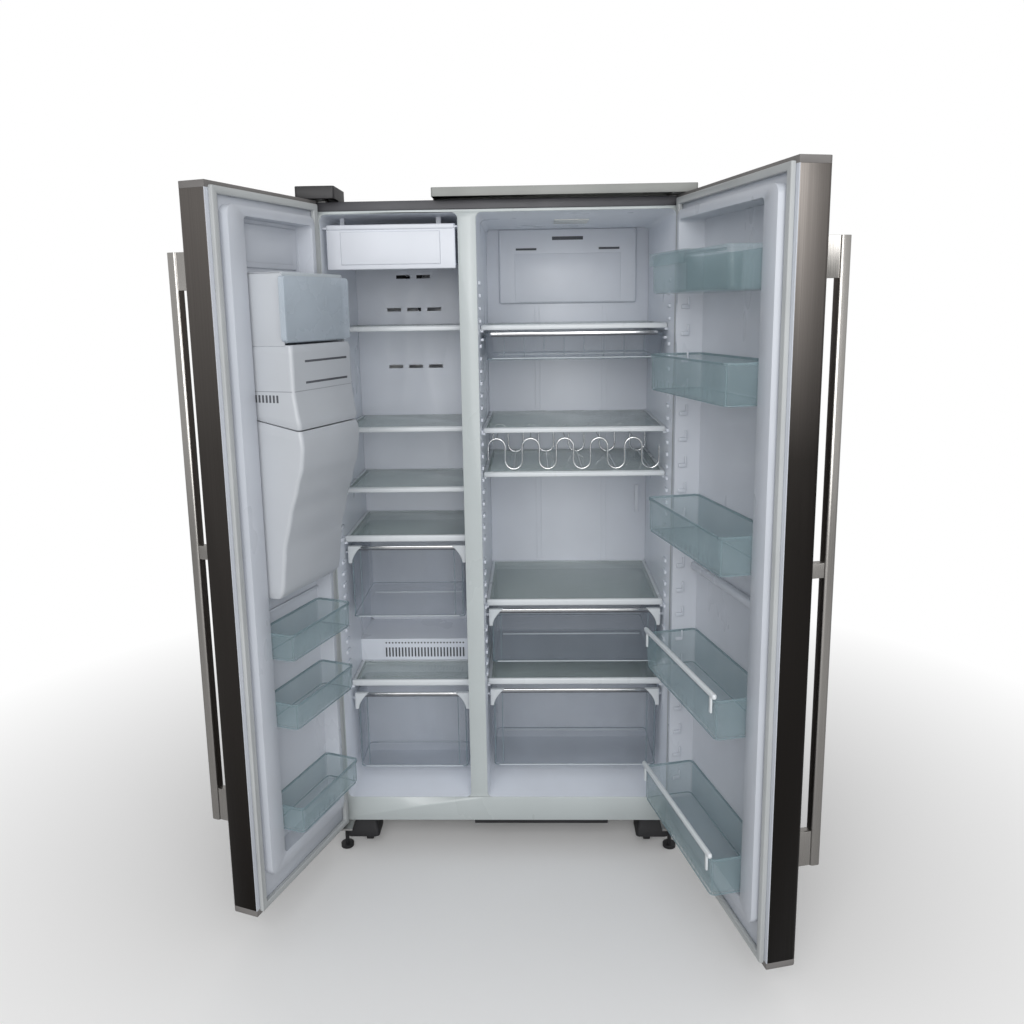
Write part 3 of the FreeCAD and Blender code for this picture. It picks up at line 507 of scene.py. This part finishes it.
# the housing takes the liner plastic darkened by painted shade
leftDoor.piece("shadedIceHousing", bm, "shadedIceHousing", "white_liner", ["ice_housing"])
# dark strips standing for the slots and vents: painted shade in the openings
bm = bmesh.new()
for z in (1331, 1286):
    leftDoor.block(bm, 80, 245, 110.5, 112.4, z - 2.5, z + 2.5, 0.6, 2)
for place in range(9):      # vents beside the bin, as dark strips of painted shade
    leftDoor.block(bm, 290.6, 291.4, -4 + 9 * place, 1 + 9 * place, 1246, 1262, 0.3, 1)
leftDoor.piece("iceSlots", bm, "darkPlasticAndShade", "dark_plastic")
bm = bmesh.new()
leftDoor.block(bm, 290.5, 291.5, -14, 108, 1269, 1270.4, 0.3, 1)
leftDoor.block(bm, 66, 286, 111.5, 112.4, 1269, 1270.4, 0.3, 1)
leftDoor.piece("iceLines", bm, "seam", "white_liner")
# painted highlight: bright clear bands along the ice bin's top rim, one front corner and its lower front edge
bm = bmesh.new()
leftDoor.band(bm, 58, 290, -12, 97, 1508, 1515.4, 2.5, 8)
leftDoor.block(bm, 285, 289, 92, 96.5, 1370, 1512, 1.4, 2)
leftDoor.block(bm, 72, 278, 95.5, 97, 1372, 1376, 0.6, 2)
leftDoor.piece("iceBinRim", bm, "paintedHighlight", "clear_plastic")
bm = bmesh.new()
leftDoor.block(bm, 68, 292, -18, -15, 1528, 1620, 2.5, 3)      # bare raised place above the ice bin
leftDoor.block(bm, 84, 276, -15.6, -14.2, 1540, 1608, 0.6, 2)
leftDoor.block(bm, 57, 294, -18, -12, 762, 768, 2, 2)
for low, high in binSet["left"]["spans"]:
    for u in (56.2, 293.8):
        leftDoor.block(bm, u, u + 6, 4, 20, low - 16, low - 4, 2, 2)
leftDoor.piece("leftLinerDetail", bm, "shadedDoorLiner", "white_liner")
bm = bmesh.new()
rightDoor.block(bm, 60, 448, -40, -22, 804, 822, 6, 4)         # ledge moulded across the liner
for place in range(20):
    z = 250 + 62 * place
    for u in (58.2, 444.8):
        rightDoor.block(bm, u, u + 5, -6, 14, z, z + 10, 2, 2)
        rightDoor.block(bm, u, u + 5, -6, -1, z + 8, z + 26, 2, 2)
rightDoor.block(bm, 50, 56, 21, 24, 1350, 1440, 1.2, 2)        # bare tab on the hinge side
rightDoor.piece("rightLinerDetail", bm, "shadedDoorLiner", "white_liner")
print("door liners detailed")

# ice maker cover: a flap with a raised panel
low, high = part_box("ice_maker_cover")
bm = bmesh.new()
x0, x1 = low[0] * 1000 + 10, high[0] * 1000 - 7
block(bm, x0, x1, 17, 24, 1532, 1637, 3, 4)
block(bm, x0 + 34, x1 - 36, 14, 19, 1543, 1621, 2.4, 4)
block(bm, x0 + 2, x1 - 2, 14, 24, 1625, 1637, 3, 4)
block(bm, x0 - 9, x0 + 4, 16.5, 21.5, 1627.5, 1632.5, 2, 3)
block(bm, x1 - 4, x1 + 6, 16.5, 21.5, 1627.5, 1632.5, 2, 3)
meshPiece("iceMakerFlap", bm, "ice_maker_cover", "whitePlastic", ["ice_maker_cover"])

# air duct cover, back wall strips and small covers
x0, x1, y0, y1, z0, z1 = span("fridge_air_duct")
ductSet = dict(inset=46, panelTop=1590, slot=(1628, 1638))
bm = bmesh.new()
block(bm, x0, x1, y0 + 2, y1, z0, z1, 6, 4)
block(bm, x0 + ductSet["inset"], x1 - ductSet["inset"], y0 + 0.5, y0 + 6, z0 + 4, ductSet["panelTop"], 1.5, 3)
block(bm, x1 + 2, x1 + 15, y1 - 8, y1 - 0.5, 818, 902, 2.5, 3)
for middle in (96, 294):
    for side in (-7, 7):
        block(bm, middle + side - 1.2, middle + side + 1.2, y1 - 2, y1 - 0.3, 440, 1440, 0.5, 1)
meshPiece("ductCover", bm, "cabinet", "whitePlastic", ["fridge_air_duct"])
bm = bmesh.new()
middle = (x0 + x1) / 2
block(bm, middle - 45, middle + 45, y0 + 1.6, y0 + 3, *ductSet["slot"], 0.6, 2)
for side in (-120, 120):
    block(bm, middle + side - 30, middle + side + 30, y0 + 0.2, y0 + 2, 1600, 1606, 0.5, 2)
step = span("freezer_liner")
# air grille: dark strips and dots of painted shade standing for the openings
grille = dict(y=249.2, left=-352, pitch=9.3, count=25, low=446, high=474, dots=486)
for place in range(grille["count"]):
    x = grille["left"] + grille["pitch"] * place
    block(bm, x, x + 4.4, grille["y"], grille["y"] + 1, grille["low"], grille["high"], 0.4, 1)
    block(bm, x, x + 4.4, grille["y"], grille["y"] + 1, grille["dots"], grille["dots"] + 4.4, 0.4, 1)
meshPiece("airSlots", bm, "cabinet", "darkPlasticAndShade")

# shelf rests moulded on the walls of both compartments
restSet = dict(pitch=31.0, low=470.0, high=1500.0, depth=5.0, fronts=((58, 92), (300, 335)))
runnerLevels = (805, 1362, 628)
bm = bmesh.new()
for x0, x1 in ((-422, -94), (-50, 422)):
    z = restSet["low"]
    while z < restSet["high"]:
        if all(abs(z - level) > 14 for level in runnerLevels):
            for wall, inward in ((x0, 1), (x1, -1)):
                low, high = sorted((wall - inward * 2, wall + inward * restSet["depth"]))
                for front, back in restSet["fronts"][:1]:
                    block(bm, low, high, front, back, z, z + 9, 2.4, 2)
        z += restSet["pitch"]
meshPiece("shelfRests", bm, "cabinet", "liner")

# front trims of the shelves and of the drawer covers
trimSet = dict(thin=(12, 3.0), thick=(18, 5.0), forward=4.0)
shelfLevels = dict(freezer=[(1382, 135, "thin"), (1120, 135, "thin"), (958, 135, "thin"), (831, 102, "thick"), (425, 102, "thick")],
                   fridge=[(1382, 102, "thin"), (1119, 102, "thin"), (1003, 102, "thin"), (652, 102, "thick"), (428, 102, "thick")])
bm = bmesh.new()
for room, (x0, x1) in dict(freezer=(-421, -95), fridge=(-49, 421)).items():
    for z, front, kind in shelfLevels[room]:
        tall, radius = trimSet[kind]
        block(bm, x0, x1, front - trimSet["forward"], front + 6, z - 1, z - 1 + tall, radius, 4)
meshPiece("shelfTrims", bm, "cabinet", "bracketWhite")

# drawers: clear tubs with a bright bar between two curved white ends
drawerSet = dict(lip=2.5, corner=14.0, lean=5.0, bar=3.2, bracket=(28, 46), edge=2.0, glint=200)
for node, ended in dict(upper_freezer_drawer=True, lower_freezer_drawer=True, chiller_tray=False,
                        upper_crisper=True, lower_crisper=True).items():
    x0, x1, y0, y1, z0, z1 = span(node)
    x0, x1, top = x0 + 7, x1 - 7, z1 - 3.5
    bm = bmesh.new()
    tub(bm, x0, x1, y0 + 1.5, y1, z0, top, drawerSet["lip"], drawerSet["corner"], drawerSet["lean"])
    for side, (edge, inward) in dict(left=(x0, 1), right=(x1, -1)).items():
        low, high = sorted((edge - inward * 7, edge + inward * 2))
        block(bm, low, high, y0 + 66, y1 - 12, top - 12, top - 8, 1, 2)
    meshPiece(node + "Tub", bm, node, "drawerClear", [node])
    bm = bmesh.new()
    block(bm, x0 + 16, x1 - 16, y0, y0 + 2 * drawerSet["bar"], top - 5, top + 3.4, 2.2, 4)
    meshPiece(node + "Bar", bm, node, "chrome")
    # painted shadow: a dark strip under the chrome bar
    bm = bmesh.new()
    block(bm, x0 + 18, x1 - 18, y0 + 0.6, y0 + 5, top - 8, top - 5.4, 0.8, 1)
    meshPiece(node + "Shade", bm, node, "darkPlasticAndShade")
    bm = bmesh.new()
    edge, lean = drawerSet["edge"], drawerSet["lean"]
    band(bm, x0 + lean, x1 - lean, y0 + 6, y1 - 5, z0 + 2, z0 + 2 + edge, edge, drawerSet["corner"])
    if ended:
        for x in (x0 + 9, x0 + 30, x1 - 30 - edge, x1 - 9 - edge):
            block(bm, x, x + edge, y0 + 5, y0 + 7.5, z0 + 8, top - 9, 0.6, 1)
    else:
        for place in range(1, 9):
            x = x0 + (x1 - x0) * place / 9
            block(bm, x, x + 1.4, y0 + 5, y0 + 7, z0 + 8, top - 9, 0.5, 1)
    meshPiece(node + "Edges", bm, node, "clearRim")
    # painted highlights: bright clear strips on the drawer floor and along its lower front edge
    bm = bmesh.new()
    glint = min(y0 + drawerSet["glint"], y1 - 9)
    block(bm, x0 + 28, x1 - 28, glint, glint + 4, z0 + 3.2, z0 + 7, 1, 2)
    block(bm, x0 + 20, x1 - 20, y0 + 0.4, y0 + 4, z0 + 4, z0 + 6.5, 0.8, 1)
    meshPiece(node + "Glints", bm, node, "paintedHighlight")
    if ended:
        bm = bmesh.new()
        width, drop = drawerSet["bracket"]
        for edge, inward in ((x0, 1), (x1, -1)):
            rings = []
            for step in range(9):
                share = step / 8
                z = top + 4 - drop * share
                inner = edge + inward * (width * (1 - share) ** 1.8 + 9)
                low, high = sorted((edge - inward * 1, inner))
                rings.append(ring(low, high, y0 - 3, y0 + 7, 3.0, z, 3))
            loft(bm, rings)
        meshPiece(node + "Ends", bm, node, "bracketWhite")
print("interior made")

# black feet at the front, the low strip, and the dispenser's face
bm = bmesh.new()
for side in (-1, 1):
    x0, x1 = sorted((side * 350, side * 428))
    rings = [ring(x0 - 4, x1 + 4, 6, 78, 10, 34), ring(x0 - 4, x1 + 4, 6, 78, 10, 50), ring(x0, x1, 10, 74, 10, 62),
             ring(x0 + 4, x1 - 4, 12, 70, 8, 86.5)]
    loft(bm, rings)
block(bm, -86, 270, 2, 12, 76, 86.8, 2, 2)
meshPiece("footShoes", bm, "cabinet", "black")
bm = bmesh.new()
for place in range(5):
    leftDoor.block(bm, 136 + 24 * place, 148 + 24 * place, -70.6, -69.2, 1340, 1352, 0.6, 2)
leftDoor.block(bm, 140, 245, -70.3, -69.3, 1364, 1380, 0.4, 2)
leftDoor.piece("dispenserKeys", bm, "zinc", "dark_plastic")
bm = bmesh.new()
for place in range(12):
    leftDoor.block(bm, 128 + 11 * place, 133 + 11 * place, -62, -28, 1012.2, 1015, 0.8, 2)
leftDoor.piece("dripGrille", bm, "zinc", "dark_plastic")
print("small pieces made")


# light and floor
lightSet = dict(world=0.5, key=dict(place=(-0.4, -3.4, 2.3), size=2.4, power=55),
                fill=dict(place=(0.9, -3.2, 1.5), size=2.0, power=28))
world = bpy.data.worlds.new("world")
bpy.context.scene.world = world
world.use_nodes = True
background = world.node_tree.nodes["Background"]
path = world.node_tree.nodes.new("ShaderNodeLightPath")
background.inputs["Color"].default_value = (1, 1, 1, 1)
seen = world.node_tree.nodes.new("ShaderNodeMapRange")
seen.inputs[3].default_value = lightSet["world"]
world.node_tree.links.new(path.outputs["Is Camera Ray"], seen.inputs[0])
world.node_tree.links.new(seen.outputs[0], background.inputs["Strength"])
for name in ("key", "fill"):
    lamp = bpy.data.lights.new(name, "AREA")
    lamp.size = lightSet[name]["size"]
    lamp.energy = lightSet[name]["power"]
    holder = bpy.data.objects.new(name, lamp)
    bpy.context.collection.objects.link(holder)
    holder.location = lightSet[name]["place"]
    holder.rotation_euler = (Vector((0, 0, 0.9)) - holder.location).to_track_quat("-Z", "Y").to_euler()
floorFinish = Finish("floor", (0.93, 0.93, 0.93), 0.8)
viewed = floorFinish.add("ShaderNodeLightPath", {}, {}, "Is Camera Ray")
floorFinish.set("Base Color", floorFinish.blend(viewed, (0.5, 0.5, 0.5, 1), (0.93, 0.93, 0.93, 1)))
away = floorFinish.add("ShaderNodeTexCoord", {}, {}, "Object")
away = floorFinish.add("ShaderNodeVectorMath", dict(operation="LENGTH"), {0: away}, "Value")
seen = floorFinish.add("ShaderNodeLightPath", {}, {}, "Is Camera Ray")
glow = floorFinish.add("ShaderNodeEmission", {}, {"Color": (1, 1, 1, 1), "Strength": 1.0})
fade = floorFinish.ramp(away, 0.7, 2.2) * seen
mixed = floorFinish.add("ShaderNodeMixShader", {}, {0: fade, 1: Value(floorFinish, floorFinish.shader.outputs[0]), 2: glow})
output = next(node for node in floorFinish.tree.nodes if node.type == "OUTPUT_MATERIAL")
floorFinish.feed(output.inputs["Surface"], mixed)
floorMesh = bpy.data.meshes.new("floor")
floorMesh.from_pydata([(-9, -9, 0), (9, -9, 0), (9, 9, 0), (-9, 9, 0)], [], [(0, 1, 2, 3)])
floorMesh.materials.append(floorFinish.material)
floor = bpy.data.objects.new("floor", floorMesh)
bpy.context.collection.objects.link(floor)
